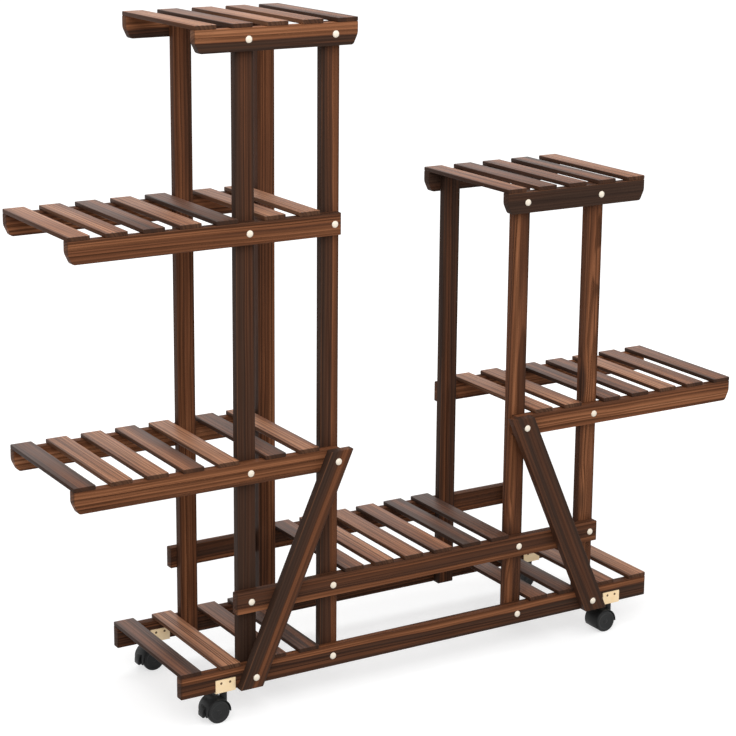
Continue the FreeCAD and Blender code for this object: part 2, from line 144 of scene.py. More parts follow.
class Finish(Nodes):
    """A material made of nodes."""

    def __init__(self, name):
        self.material = bpy.data.materials.new(name)
        self.material.use_nodes = True
        super().__init__(self.material.node_tree)
        self.shader = self.tree.nodes["Principled BSDF"]

    def read(self, attribute):
        return self.node("ShaderNodeAttribute", {"attribute_name": attribute}, output=1)

    def place(self):
        return self.node("ShaderNodeTexCoord", output=3)

    def noise(self, vector, scale=1.0, detail=2.0, roughness=0.5):
        return self.node("ShaderNodeTexNoise", {},
                         {"Vector": vector, "Scale": scale, "Detail": detail, "Roughness": roughness})

    def chance(self, number):
        return self.node("ShaderNodeTexWhiteNoise", {"noise_dimensions": "1D"}, {"W": number})

    def ramp(self, factor, *stops):
        return self.node("ShaderNodeValToRGB", {"stops": stops}, {0: factor})

    def mix(self, factor, first, second, blend="MIX"):
        return self.node("ShaderNodeMix", {"data_type": "RGBA", "blend_type": blend},
                         {0: factor, 6: first, 7: second}, 2)

    def bump(self, height, distance, strength):
        return self.node("ShaderNodeBump", {}, {"Height": height, "Distance": distance, "Strength": strength})

    def set(self, **values):
        """Set the shader's sockets, named with underscores, to values or links."""
        for name, value in values.items():
            self.feed(self.shader.inputs[name.replace("_", " ")], value)
        return self.material


# Finishes

# Tones of fir from burnt to bare: its early wood, its late wood, and the light and dark of its fibres
EARLY_WOOD = [(0.0, (0.050, 0.027, 0.018)), (0.25, (0.094, 0.038, 0.020)), (0.5, (0.190, 0.070, 0.031)),
              (0.75, (0.310, 0.124, 0.056)), (1.0, (0.460, 0.210, 0.106))]
LATE_WOOD = [(0.0, (0.026, 0.014, 0.010)), (0.5, (0.038, 0.014, 0.006)), (1.0, (0.100, 0.035, 0.014))]
FIBRES = [(0.25, 0.78), (0.75, 1.16)]
# The second of these is near black: char on the ends, and on the slats' flanks char with painted shade.
# The third is a lighter orange for worn arrises, with a painted highlight on them.
KNOT, CHAR_AND_PAINTED_SHADE, WORN_EDGE_AND_HIGHLIGHT = (0.022, 0.012, 0.009, 1), (0.036, 0.019, 0.013, 1), (0.200, 0.082, 0.040, 1)
# The width of a year's ring, and how far the log's heart lies beside a board and behind it: the least, and what
# chance adds
RING_WIDTH, RING_CHANCE = 5.0 * MM, 2.2 * MM
HEART_BESIDE, HEART_BESIDE_CHANCE = 34 * MM, 30 * MM
HEART_BEHIND, HEART_BEHIND_CHANCE = 10 * MM, 20 * MM
# Knots to a metre along a board and across it
KNOTS = (5, 22, 22)


def carbonised_fir(name, shine, char_and_flank_shade):
    """Scorched and oiled fir. The rings run round a heart beside the board, so faces, edges and ends agree.

    The last argument is how far ends are charred and how dark the slats' flanks are drawn: char, with painted shade
    there.
    """
    f = Finish(name)
    log = f.read("log")
    along, across, through = f.parts(log)
    run, side, depth = f.parts(f.read("span"))
    near, far, divide = f.parts(f.read("band"))
    seed, figure, lines = f.parts(f.read("mood"))
    cut = f.vectors("ADD", log, f.vector(seed * 31.7, seed * 17.3, seed * 7.9))
    first, second, third = (f.chance(seed * factor) for factor in (91.0, 57.0, 23.0))

    def streaks(lengthways, crossways, detail=2.0, roughness=0.5):
        return f.noise(f.vectors("MULTIPLY", cut, (lengthways, crossways, crossways)), 1.0, detail, roughness)

    # Rings, bent by knots where a board has figure
    spot = f.node("ShaderNodeTexVoronoi", {}, {"Vector": f.vectors("MULTIPLY", cut, KNOTS), "Scale": 1.0})
    knot = (1 - f.rise(spot, 0.09, 0.25)) * figure
    swirl = (1 - f.rise(spot, 0.08, 0.42)) * figure
    wander = streaks(2.0, 10) - 0.5
    shake = streaks(9, 70) - 0.5
    beside = HEART_BESIDE + second * HEART_BESIDE_CHANCE
    sideways = (across + beside * (1 - figure) + (first - 0.5) * 0.02 * figure
                + along * (third - 0.5) * 0.016 + wander * 0.012 + shake * 0.0016)
    depthways = through + HEART_BEHIND + third * HEART_BEHIND_CHANCE + along * figure * 0.045
    radius = f.vectors("LENGTH", f.vector(sideways, depthways), output=1)
    years = f.noise(f.vector(radius * 95, along * 0.9, seed * 40), 1.0, 1.0)
    zones = f.noise(f.vector(radius * 62, along * 0.8, seed * 71))
    ring = radius / (RING_WIDTH + first * RING_CHANCE) + years * 2.4 + swirl * 1.6
    place = f.sum("FRACT", ring)
    strength = f.chance(f.sum("FLOOR", ring) + seed * 57.0)

    # Late wood: a dark line at the end of each ring, and fine veins between
    fine = streaks(1.5, 420, 2.0, 0.6)
    fibre = streaks(14, 1300, 2.0, 0.6)
    streak = streaks(1.1, 150, 1.0)
    scorch = streaks(3.0, 30)
    line = f.rise(place, 0.22, 0.76) * (1 - f.rise(place, 0.88, 1.0)) * (0.45 + strength * 0.55)
    end = f.rise(abs(run), 0.992, 0.9985)
    vein = (1 - f.rise(abs(streak - 0.5), 0.0, 0.045)) * f.rise(scorch, 0.3, 0.6) * (1 - end)
    late = f.sum("MAXIMUM", line, vein * 0.9) * (0.7 + f.rise(fine, 0.35, 0.65) * 0.45) * lines

    # Tones: the board's own two, one on each side of the dividing line, with cloudy scorching
    edge = f.rise(side + wander * 0.5 + shake * 0.25, divide - 0.09, divide + 0.09)
    scald = f.rise(abs(side), 0.55, 1.0) * 0.2
    shade = (near + (far - near) * edge + (zones - 0.5) * (1.2 + char_and_flank_shade) + (scorch - 0.5) * (0.4 + char_and_flank_shade * 0.6)
             + (fine - 0.5) * 0.35 - scald)
    colour = f.mix(late, f.ramp(shade, *EARLY_WOOD), f.ramp(shade, *LATE_WOOD))
    colour = f.mix(1.0, colour, f.ramp(fibre, *FIBRES), "MULTIPLY")
    colour = f.mix(knot * 0.9, colour, KNOT)
    # Arrises on one side of each board, the top ones of the rails and the left ones of the posts, drawn lighter
    # orange: wear, and a painted highlight where the eased edge catches the light
    worn_and_lit_arris = f.rise(side, 0.91, 0.97) * f.rise(abs(depth), 0.80, 0.94)
    colour = f.mix(worn_and_lit_arris * f.rise(scorch, 0.35, 0.65) * 0.55, colour, WORN_EDGE_AND_HIGHLIGHT)
    # The slats' flanks drawn near black: char, and painted shade where neighbouring slats face each other across the
    # gaps. The ends of every board are darker as charred end grain
    flank = f.rise(abs(side), 0.96, 0.995) * char_and_flank_shade
    colour = f.mix(f.sum("MAXIMUM", flank, end * (0.55 + char_and_flank_shade * 0.4)), colour, CHAR_AND_PAINTED_SHADE)
    relief = late * 0.6 + fibre * 0.5 - knot * 0.5
    return f.set(Base_Color=colour, Roughness=0.42 + fibre * 0.14 + late * 0.08, Specular_IOR_Level=shine,
                 Normal=f.bump(relief, 0.0005, 0.5))


def cream_enamel(name):
    f = Finish(name)
    cloud, speck = f.noise(f.place(), 160, 3), f.noise(f.place(), 900)
    colour = f.mix(cloud, (0.86, 0.74, 0.58, 1), (0.95, 0.88, 0.76, 1))
    return f.set(Base_Color=colour, Roughness=0.26 + speck * 0.18, Normal=f.bump(speck, 0.0001, 0.4))


def pale_gold_plating(name):
    f = Finish(name)
    brush = f.noise(f.vectors("MULTIPLY", f.place(), (40, 900, 900)), 1.0, 3, 0.6)
    cloud = f.noise(f.place(), 90)
    colour = f.mix(cloud, (0.90, 0.64, 0.34, 1), (0.98, 0.80, 0.54, 1))
    return f.set(Base_Color=colour, Metallic=0.35, Roughness=0.34 + brush * 0.18,
                 Normal=f.bump(brush, 0.0001, 0.3))


def plated_steel(name, colour, least):
    f = Finish(name)
    brush, cloud = f.noise(f.place(), 700, 3), f.noise(f.place(), 120)
    tint = f.mix(cloud, (*(part * 0.8 for part in colour), 1), (*colour, 1))
    return f.set(Base_Color=tint, Metallic=1.0, Roughness=least + brush * 0.2,
                 Normal=f.bump(brush, 0.0001, 0.3))


def moulded_black(name, level):
    f = Finish(name)
    pebble, dust = f.noise(f.place(), 1500), f.noise(f.place(), 55, 3)
    colour = f.mix(dust, (level * 0.75, level * 0.77, level * 0.78, 1),
                   (level * 1.3, level * 1.32, level * 1.32, 1))
    return f.set(Base_Color=colour, Roughness=0.36 + dust * 0.18, Specular_IOR_Level=0.22,
                 Normal=f.bump(pebble, 0.0001, 0.35))


# Shine of each kind of board, and its char with the painted shade of slat flanks. A slat shines on top alone: its
# other faces are flanks
FIR = {"post": (0.05, 0), "rail": (0.05, 0), "brace": (0.06, 0), "slat": (0.42, 0.7), "flank": (0.05, 0.7)}
WOOD = {kind: carbonised_fir(f"{kind}_fir", shine, char_and_flank_shade) for kind, (shine, char_and_flank_shade) in FIR.items()}
CREAM = cream_enamel("bolt_cream")
GOLD = pale_gold_plating("bracket_gold")
ZINC = plated_steel("insert_zinc", (0.58, 0.58, 0.56), 0.28)
STEEL = plated_steel("stem_steel", (0.50, 0.50, 0.51), 0.24)
BRONZE = plated_steel("screw_bronze", (0.17, 0.11, 0.065), 0.35)
HOOD_BLACK = moulded_black("hood_black", 0.008)
WHEEL_BLACK = moulded_black("wheel_black", 0.014)


# Pieces

def finish_piece(mesh, name, body, slot, *nodes, material=None, soft_angle=35):
    """Show a mesh as a piece that rides on a body and stands for CAD nodes."""
    if material is not None:
        mesh.materials.clear()
        mesh.materials.append(material)
    mesh.shade_smooth()
    mesh.set_sharp_from_angle(angle=math.radians(soft_angle))
    piece = bpy.data.objects.new(name, mesh)
    bpy.context.scene.collection.objects.link(piece)
    if nodes:
        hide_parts(*nodes)
    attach(piece, body)


def mesh_from(shape, name):
    mesh = bpy.data.meshes.new(name)
    shape.to_mesh(mesh)
    shape.free()
    return mesh


def write_rows(mesh, rows):
    """Write rows of vectors, one for each point, as named attributes."""
    for name, vectors in rows.items():
        attribute = mesh.attributes.new(name, "FLOAT_VECTOR", "POINT")
        attribute.data.foreach_set("vector", [part for vector in vectors for part in vector])


# Boards

BOARD_EASE, EASE_STEPS, EASE_PROFILE, SHARP_ANGLE = 1.3 * MM, 3, 0.6, 30
NOSE_LENGTH, NOSE_HEIGHT, NOSE_ROUND = 8 * MM, 17 * MM, 4 * MM
BEND_STEPS = (0, 0.25, 0.5, 0.75, 1)
# How far a brace leans sideways for its rise
LEAN = 148 / 332
GOLDEN = 0.618034
seeds = iter(range(1, 200))


def next_seed():
    """A fixed number for each board, so that no two share their grain."""
    return next(seeds) * GOLDEN % 1


def rounded(before, corner, after, radius):
    """Points of a soft bend in place of a corner."""
    before, corner, after = Vector(before), Vector(corner), Vector(after)
    start = corner + (before - corner).normalized() * radius
    stop = corner + (after - corner).normalized() * radius
    return [tuple(start.lerp(corner, step).lerp(corner.lerp(stop, step), step)) for step in BEND_STEPS]


def write_grain(mesh, points, halves, band, mood):
    """Give a board its grain: places along, across and through it, its tones and its own chance numbers."""
    spans = [[part / half for part, half in zip(point, halves)] for point in points]
    write_rows(mesh, {"log": points, "span": spans, "band": [band] * len(points), "mood": [mood] * len(points)})


def plank(name, corners, front, back, run, kind, band, figure=0.0, lines=1.0):
    """A board with a front outline of corners in X and Z, all its edges eased, and its grain along run."""
    shape = bmesh.new()
    faces = [[shape.verts.new((x, y, z)) for x, z in corners] for y in (front, back)]
    shape.faces.new(faces[0])
    shape.faces.new(reversed(faces[1]))
    for index in range(len(corners)):
        following = (index + 1) % len(corners)
        shape.faces.new((faces[0][following], faces[0][index], faces[1][index], faces[1][following]))
    bmesh.ops.recalc_face_normals(shape, faces=shape.faces)
    arrises = [edge for edge in shape.edges if edge.calc_face_angle() > math.radians(SHARP_ANGLE)]
    bmesh.ops.bevel(shape, geom=arrises, offset=BOARD_EASE, segments=EASE_STEPS, profile=EASE_PROFILE,
                    affect="EDGES")
    mesh = mesh_from(shape, name)
    run = Vector((run[0], 0, run[1])).normalized()
    side = Vector((-run.z, 0, run.x))
    xs, zs = zip(*corners)
    middle = Vector(((min(xs) + max(xs)) / 2, (front + back) / 2, (min(zs) + max(zs)) / 2))
    points = []
    for vertex in mesh.vertices:
        offset = vertex.co - middle
        points.append((offset.dot(run), offset.dot(side), offset.y))
    halves = [max(abs(point[axis]) for point in points) for axis in range(3)]
    write_grain(mesh, points, halves, band, (next_seed(), figure, lines))
    finish_piece(mesh, f"{name}_board", "frame", f"{kind}_wood", name, material=WOOD[kind])


# For each post: tone right of the dividing line and left of it, the line from -1 to 1, and figure
POSTS = {
    "front_left_outer": (0.20, 0.11, 0.0, 0.0), "front_left_inner": (0.52, 0.13, -0.25, 0.0),
    "front_right_inner": (0.30, 0.60, 0.1, 0.75), "front_right_outer": (0.48, 0.50, 0.1, 0.85),
    "back_left_outer": (0.45, 0.55, 0.35, 0.0), "back_left_inner": (0.52, 0.50, 0.0, 0.0),
    "back_right_inner": (0.12, 0.27, 0.05, 0.0), "back_right_outer": (0.40, 0.50, 0.1, 0.3),
}
# For each rail: tone below the dividing line and above it, the line, and figure
RAILS = {
    "left_top": (0.15, 0.76, -0.12, 0.0), "left_second": (0.54, 0.52, 0.0, 0.0),
    "left_third": (0.70, 0.60, 0.0, 0.0), "right_top": (0.12, 0.14, 0.0, 0.0),
    "right_middle": (0.58, 0.54, 0.1, 0.25), "low": (0.66, 0.34, -0.45, 0.0),
    "base": (0.25, 0.60, 0.45, 0.0),
}
NOSES = {"left_top": "both", "left_second": "start", "left_third": "start", "right_top": "both",
         "right_middle": "stop"}

for name, (right, left, divide, figure) in POSTS.items():
    low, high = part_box(f"{name}_post")
    outline = [(low[0], low[2]), (high[0], low[2]), (high[0], high[2]), (low[0], high[2])]
    plank(f"{name}_post", outline, low[1], high[1], (0, 1), "post", (right, left, divide), figure)

for row in ("front", "back"):
    for name, (under, over, divide, figure) in RAILS.items():
        low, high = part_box(f"{row}_{name}_rail")
        foot, head, shoulder = low[2], high[2], low[2] + NOSE_HEIGHT
        start, stop = [(low[0], foot)], [(high[0], foot)]
        if NOSES.get(name) in ("start", "both"):
            nose, heel = (low[0], shoulder), (low[0] + NOSE_LENGTH, foot)
            start = [*rounded((low[0], head), nose, heel, NOSE_ROUND),
                     *rounded(nose, heel, (high[0], foot), NOSE_ROUND)]
        if NOSES.get(name) in ("stop", "both"):
            heel, nose = (high[0] - NOSE_LENGTH, foot), (high[0], shoulder)
            stop = [*rounded((low[0], foot), heel, nose, NOSE_ROUND),
                    *rounded(heel, nose, (high[0], head), NOSE_ROUND)]
        outline = [*start, *stop, (high[0], head), (low[0], head)]
        plank(f"{row}_{name}_rail", outline, low[1], high[1], (1, 0), "rail", (under, over, divide), figure)

# For each brace: its lean, and tone on its right side, on its left side, and the dividing line
BRACES = {"left_brace": (LEAN, (0.38, 0.08, 0.0)), "right_brace": (-LEAN, (0.10, 0.34, 0.55))}
BRACE_LINES = 0.7

for name, (lean, band) in BRACES.items():
    low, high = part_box(name)
    half = (high[0] - low[0] - abs(lean) * (high[2] - low[2])) / 2
    foot, head = (low[0] + half, high[0] - half) if lean > 0 else (high[0] - half, low[0] + half)
    outline = [(foot - half, low[2]), (foot + half, low[2]), (head + half, high[2]), (head - half, high[2])]
    plank(name, outline, low[1], high[1], (lean, 1), "brace", band, lines=BRACE_LINES)


# Slats, bolts and screws

class Pattern(Nodes):
    """A Geometry Nodes tree that lays one shape on every point, with named inputs for its sizes."""

    def __init__(self, name, *sizes):
        super().__init__(bpy.data.node_groups.new(name, "GeometryNodeTree"))
        face = self.tree.interface
        face.new_socket("Points", in_out="INPUT", socket_type="NodeSocketGeometry")
        for title in sizes:
            face.new_socket(title, in_out="INPUT", socket_type="NodeSocketFloat")
        face.new_socket("Finish", in_out="INPUT", socket_type="NodeSocketMaterial")
        face.new_socket("Pieces", in_out="OUTPUT", socket_type="NodeSocketGeometry")
        outputs = self.node("NodeGroupInput", output=None)
        self.inputs = {each.output.name: each for each in outputs if each.output.name}

    def lay(self, shape, turn=None):
        """Put the shape on every point, turned by an attribute if one is named, and close the tree."""
        inputs = {"Points": self.inputs["Points"], "Instance": shape}
        if turn is not None:
            angles = self.node("GeometryNodeInputNamedAttribute", {"data_type": "FLOAT_VECTOR"}, {"Name": turn})
            inputs["Rotation"] = self.node("FunctionNodeEulerToRotation", {}, {0: angles})
        laid = self.node("GeometryNodeInstanceOnPoints", {}, inputs)
        real = self.node("GeometryNodeRealizeInstances", {}, {"Geometry": laid})
        done = self.node("GeometryNodeSetMaterial", {}, {"Geometry": real, "Material": self.inputs["Finish"]})
        self.node("NodeGroupOutput", {}, {0: done}, None)

    def grow(self, name, points, rows, **values):
        """Run the tree on points that carry rows of vectors, and give back the plain mesh."""
        mesh = bpy.data.meshes.new(f"{name}_points")
        mesh.from_pydata(points, [], [])
        write_rows(mesh, rows)
        carrier = bpy.data.objects.new(f"{name}_points", mesh)
        bpy.context.scene.collection.objects.link(carrier)
        modifier = carrier.modifiers.new("pattern", "NODES")
        modifier.node_group = self.tree
        for item in self.tree.interface.items_tree:
            if item.name in values:
                modifier[item.identifier] = values[item.name]
        depsgraph = bpy.context.evaluated_depsgraph_get()
        grown = bpy.data.meshes.new_from_object(carrier.evaluated_get(depsgraph), preserve_all_data_layers=True,
                                                depsgraph=depsgraph)
        carrier.modifiers.remove(modifier)
        bpy.data.objects.remove(carrier)
        grown.name = name
        return grown


# How far the rim of a slat's end draws in, in width, length and thickness
SLAT_END = (0.97, 1.0, 0.82)
SLAT_ROUND_STEPS = 3


def slat_pattern():
    """An eased slat along Y, with its grain."""
    p = Pattern("slats", "Width", "Thickness", "Depth", "Ease")
    width, thickness, depth, ease = (p.inputs[title] for title in ("Width", "Thickness", "Depth", "Ease"))
    half = depth * 0.5
    inset = half - ease
    line = p.node("GeometryNodeCurvePrimitiveLine", {},
                  {"Start": p.vector(y=0 - half), "End": p.vector(y=half)})
    # Four points: the two ends, and the two inner ones drawn out to where the ends' easing starts
    line = p.node("GeometryNodeResampleCurve", {}, {"Curve": line, "Count": 4})
    step = p.node("GeometryNodeInputIndex") - 1.5
    inner = abs(step) < 1.0
    drawn = p.vector(y=p.sum("SIGN", step) * inset)
    line = p.node("GeometryNodeSetPosition", {}, {"Geometry": line, "Selection": inner, "Position": drawn})
    section = p.node("GeometryNodeCurvePrimitiveQuadrilateral", {}, {"Width": width, "Height": thickness})
    section = p.node("GeometryNodeFilletCurve", {"mode": "POLY"},
                     {"Curve": section, "Radius": ease, "Count": SLAT_ROUND_STEPS})
    slat = p.node("GeometryNodeCurveToMesh", {}, {"Curve": line, "Profile Curve": section, "Fill Caps": True})
    position = p.node("GeometryNodeInputPosition")
    across, along, through = p.parts(position)
    at_end = abs(along) > inset + ease * 0.5
    narrowed = p.vectors("MULTIPLY", position, SLAT_END)
    slat = p.node("GeometryNodeSetPosition", {},
                  {"Geometry": slat, "Selection": at_end, "Position": narrowed})
    log = p.vector(along, across, through)
    span = p.vector(along / half, across / (width * 0.5), through / (thickness * 0.5))
    for title, value in (("log", log), ("span", span)):
        slat = p.node("GeometryNodeStoreNamedAttribute", {"data_type": "FLOAT_VECTOR", "domain": "POINT"},
                      {"Geometry": slat, "Name": title, "Value": value})
    p.lay(slat)
    return p


# Steps of a bolt's dome, the angle of its flat tip, facets round it, and how far the shank starts under the seat
DOME_STEPS, DOME_TIP, BOLT_FACETS, SEAT_STEP = 6, 0.1, 24, 0.02 * MM


def bolt_pattern():
    """A domed head on a shank, pointing up Z from the head's seat."""
    p = Pattern("bolts", "Head", "Dome", "Shank", "Length")
    head, dome, shank, length = (p.inputs[title] for title in ("Head", "Dome", "Shank", "Length"))
    line = p.node("GeometryNodeCurvePrimitiveLine", {}, {"End": (0, 0, 1)})
    line = p.node("GeometryNodeResampleCurve", {}, {"Curve": line, "Count": DOME_STEPS + 3})
    index = p.node("GeometryNodeInputIndex")
    on_head = index < DOME_STEPS + 0.5
    at_foot = index > DOME_STEPS + 1.5
    angle = p.sum("MINIMUM", index / DOME_STEPS, 1.0) * (math.pi / 2 - DOME_TIP) + DOME_TIP
    radius = head * p.sum("SINE", angle) * on_head + shank * (1 - on_head)
    height = dome * p.sum("COSINE", angle) - length * at_foot - (1 - on_head) * SEAT_STEP
    line = p.node("GeometryNodeSetPosition", {}, {"Geometry": line, "Position": p.vector(z=height)})
    section = p.node("GeometryNodeCurvePrimitiveCircle", {}, {"Resolution": BOLT_FACETS, "Radius": 1.0})
    bolt = p.node("GeometryNodeCurveToMesh", {},
                  {"Curve": line, "Profile Curve": section, "Scale": radius, "Fill Caps": True})
    p.lay(bolt, "turn")
    return p


# Tone of each slat, from left to right
SLATS = {
    "left_top": [0.94, 0.68, 0.88, 0.70, 0.56], "left_second": [0.74, 0.77, 0.44, 0.80, 0.31, 0.89, 1.1],
    "left_third": [0.12, 1.06, 0.96, 0.56, 1.08, 0.40, 0.94], "low": [0.40, 0.92, 0.80, 0.62, 0.28, 0.34],
    "left_base": [0.37, 1.12, 0.78, 0.24], "right_base": [0.56, 0.42, 0.72, 1.10],
    "right_middle": [1.30, 0.86, 0.56, 0.57, 1.06, 0.62, 0.50], "right_top": [0.68, 0.46, 0.54, 0.33, 0.85],
}
SLAT_WIDTH, SLAT_EASE, POST_CLEARANCE = 36 * MM, 1.2 * MM, 4.5 * MM
# From the middle of the bay between two posts to the middle of each of its slats
BAY_HALF = 30 * MM
SLAT_FIGURE, SLAT_LINES = 0.12, 1.0
# A face whose normal rises less than this is a flank
TOP_RISE = 0.6


def spread(start, stop, count):
    """Middles of slats spread evenly from one edge to another."""
    step = (stop - start - SLAT_WIDTH) / (count - 1)
    return [start + SLAT_WIDTH / 2 + index * step for index in range(count)]


def slat_middles(name, low, high):
    """Middles of a shelf's slats: in one run, or beside the posts and between them."""
    count = len(SLATS[name])
    if name in ("left_top", "right_top", "low"):
        return spread(low, high, count)
    side = "left" if name.startswith("left") else "right"
    outer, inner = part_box(f"front_{side}_outer_post"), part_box(f"front_{side}_inner_post")
    bay = (outer[0][0] + outer[1][0] + inner[0][0] + inner[1][0]) / 4
    pair = [bay - BAY_HALF, bay + BAY_HALF]
    if side == "left":
        return spread(low, outer[0][0] - POST_CLEARANCE, count - 2) + pair
    return pair + spread(outer[1][0] + POST_CLEARANCE, high, count - 2)


slat_boards = slat_pattern()
for name, tones in SLATS.items():
    low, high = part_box(f"{name}_slats")
    points = [(x, (low[1] + high[1]) / 2, (low[2] + high[2]) / 2) for x in slat_middles(name, low[0], high[0])]
    rows = {"band": [(tone, tone, 0) for tone in tones],
            "mood": [(next_seed(), SLAT_FIGURE, SLAT_LINES) for _ in tones]}
    mesh = slat_boards.grow(f"{name}_slats", points, rows, Width=SLAT_WIDTH, Thickness=high[2] - low[2],
                            Depth=high[1] - low[1], Ease=SLAT_EASE, Finish=WOOD["slat"])
    mesh.materials.clear()
    for kind in ("slat", "flank"):
        mesh.materials.append(WOOD[kind])
    for face in mesh.polygons:
        face.material_index = int(face.normal.z < TOP_RISE)
    finish_piece(mesh, f"{name}_slat_boards", "frame", "slat_wood", f"{name}_slats")

BOLT_HEAD, BOLT_DOME, BOLT_SHANK = 5.5 * MM, 2.4 * MM, 3 * MM
BOLT_LENGTHS = {"rail_bolts": 26 * MM, "brace_bolts": 41 * MM}
# The rails that each tower's posts are bolted to, and the posts and rails that share a bolt with a brace
TOWERS = {"left": ("left_top", "left_second", "left_third", "low", "base"),
          "right": ("right_top", "right_middle", "low", "base")}
BRACED = {("left_inner", "left_third"): "left_brace", ("left_outer", "base"): "left_brace",
          ("right_inner", "right_middle"): "right_brace", ("right_outer", "base"): "right_brace"}
FACING = {"front": (math.pi / 2, 0, 0), "back": (-math.pi / 2, 0, 0)}


def middle_of(name, axis):
    low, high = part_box(name)
    return (low[axis] + high[axis]) / 2


bolts = {"rail_bolts": [], "brace_bolts": []}
for row in ("front", "back"):
    for side, rails in TOWERS.items():
        for rail in rails:
            for place in ("outer", "inner"):
                brace = BRACED.get((f"{side}_{place}", rail)) if row == "front" else None
                low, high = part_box(brace or f"{row}_{rail}_rail")
                seat = low[1] if row == "front" else high[1]
                point = (middle_of(f"{row}_{side}_{place}_post", 0), seat, middle_of(f"{row}_{rail}_rail", 2))
                bolts["brace_bolts" if brace else "rail_bolts"].append((point, FACING[row]))

bolt_shapes = bolt_pattern()
for name, placed in bolts.items():
    mesh = bolt_shapes.grow(name, [point for point, _ in placed], {"turn": [turn for _, turn in placed]},
                            Head=BOLT_HEAD, Dome=BOLT_DOME, Shank=BOLT_SHANK, Length=BOLT_LENGTHS[name],
                            Finish=CREAM)
    finish_piece(mesh, f"{name}_domed", "frame", "bolt_metal", name)

SCREW_HEAD, SCREW_DOME, SCREW_SHANK, SCREW_LENGTH = 2.1 * MM, 0.9 * MM, 1.4 * MM, 8 * MM
SCREW_SPACING, SCREW_DROP = 15.5 * MM, 5.7 * MM
screws = []
for row in ("front", "back"):
    for side in ("left", "right"):
        low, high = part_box(f"{row}_{side}_caster_bracket")
        middle, level = (low[0] + high[0]) / 2, high[2] - SCREW_DROP
        for away in (-SCREW_SPACING / 2, SCREW_SPACING / 2):
            screws += [((middle + away, seat, level), FACING[facing])
                       for seat, facing in ((low[1], "front"), (high[1], "back"))]
mesh = bolt_shapes.grow("bracket_screws", [point for point, _ in screws],
                        {"turn": [turn for _, turn in screws]}, Head=SCREW_HEAD, Dome=SCREW_DOME,
                        Shank=SCREW_SHANK, Length=SCREW_LENGTH, Finish=BRONZE)
finish_piece(mesh, "bracket_screws", "frame", "bracket_metal")


# Casters

# Sizes of a caster are in millimetres from its axle, and angles in degrees
FACETS = 64
# Half of a wheel's section: radius and distance from its inner face, from the hub cap over the tread to the bore
WHEEL_SECTION = [(0, 9.75), (1.6, 9.68), (3.0, 9.4), (3.9, 8.9), (4.3, 8.55), (12.2, 8.55), (12.8, 8.7),
                 (13.6, 9.3), (14.2, 9.6), (14.9, 9.8), (16.6, 9.8), (17.7, 9.55), (18.5, 8.9), (18.9, 8.0),
                 (19, 7.0), (19, 2.4), (18.85, 1.3), (18.3, 0.5), (17.4, 0.2), (16.4, 0.2), (15.7, 1.0),
                 (6.2, 1.0), (5.4, 0.2), (3.05, 0.2), (3.05, 6.5), (0, 6.5)]
# Half of the stem's boss: radius and height above the axle, from its foot to the floor of its bore
BOSS_SECTION = [(0, -6), (5.0, -6), (5.7, -5.7), (6, -5), (6, 26.6), (5.7, 27.2), (5.1, 27.5), (4.6, 27.5),
                (4.2, 27.1), (4.2, 5.4), (0, 5.4)]
# How far the stem stands ahead of the axle
TRAIL = 15
# The fender's wall: distance from the axle and from the caster's middle
FENDER_SECTION = [(19.7, -16.3), (19.9, -16.5), (20.3, -16.5), (20.9, -16.2), (21.2, -15.6), (21.2, 15.6),
                  (20.9, 16.2), (20.3, 16.5), (19.9, 16.5), (19.7, 16.3)]
# The radius in the middle of that wall, and the angle at which it starts, ahead of the axle
FENDER_MIDDLE, FENDER_FRONT = 20.45, -4.1
# The softened ends of the fender: how far they reach on, and what is left of the wall there and of its width
END_TURN, END_WALL, END_WIDTH = 1.2, 0.5, 0.985
WEB_HALF, WEB_DROP = 6, 10
# How far the fender drops behind, below the axle: shorter on a caster that locks, under its foot tab
PLAIN_DROP, LOCKING_DROP = 10, 4
# The foot tab behind the axle: its outline seen from the side, its middle, and its rounded edges
TAB_OUTLINE = [(-18.6, 9.6), (-21.2, 8.6), (-23.6, 6.0), (-25.2, 2.2), (-25.8, -2.0), (-25.8, -6.4),
               (-25.2, -7.6), (-24.0, -8.2), (-21.6, -8.0), (-20.6, -6.8), (-20.2, -2.0), (-20.0, 3.0)]
TAB_MIDDLE, TAB_HALF, TAB_ROUND, TAB_END = -22.5, 7.5, 0.8, 0.9


def skin(shape, loops):
    """Skin loops of points, one of which may be a single point, and cap the ends."""
    rows = [[shape.verts.new(point) for point in loop] for loop in loops]
    count = max(len(row) for row in rows)
    for row, following in zip(rows, rows[1:]):
        for index in range(count):
            corners = [row[index % len(row)], row[(index + 1) % len(row)],
                       following[(index + 1) % len(following)], following[index % len(following)]]
            shape.faces.new(dict.fromkeys(corners))
    for row in (rows[0], rows[-1]):
        if len(row) > 1:
            shape.faces.new(row)


def circles(section, place):
    """Loops of points round an axis. place turns two distances from the axis and a height into a point."""
    loops = []
    for radius, height in section:
        turns = [2 * math.pi * index / FACETS for index in range(FACETS if radius else 1)]
        loops.append([place(radius * math.cos(turn), radius * math.sin(turn), height) for turn in turns])
    return loops


def wheel_shape(axle, outward):
    """A wheel turned about its axle, with a dished face and a hub cap."""
    shape = bmesh.new()
    skin(shape, circles(WHEEL_SECTION, lambda x, z, away: axle + Vector((x, outward * away, z)) * MM))
    return shape


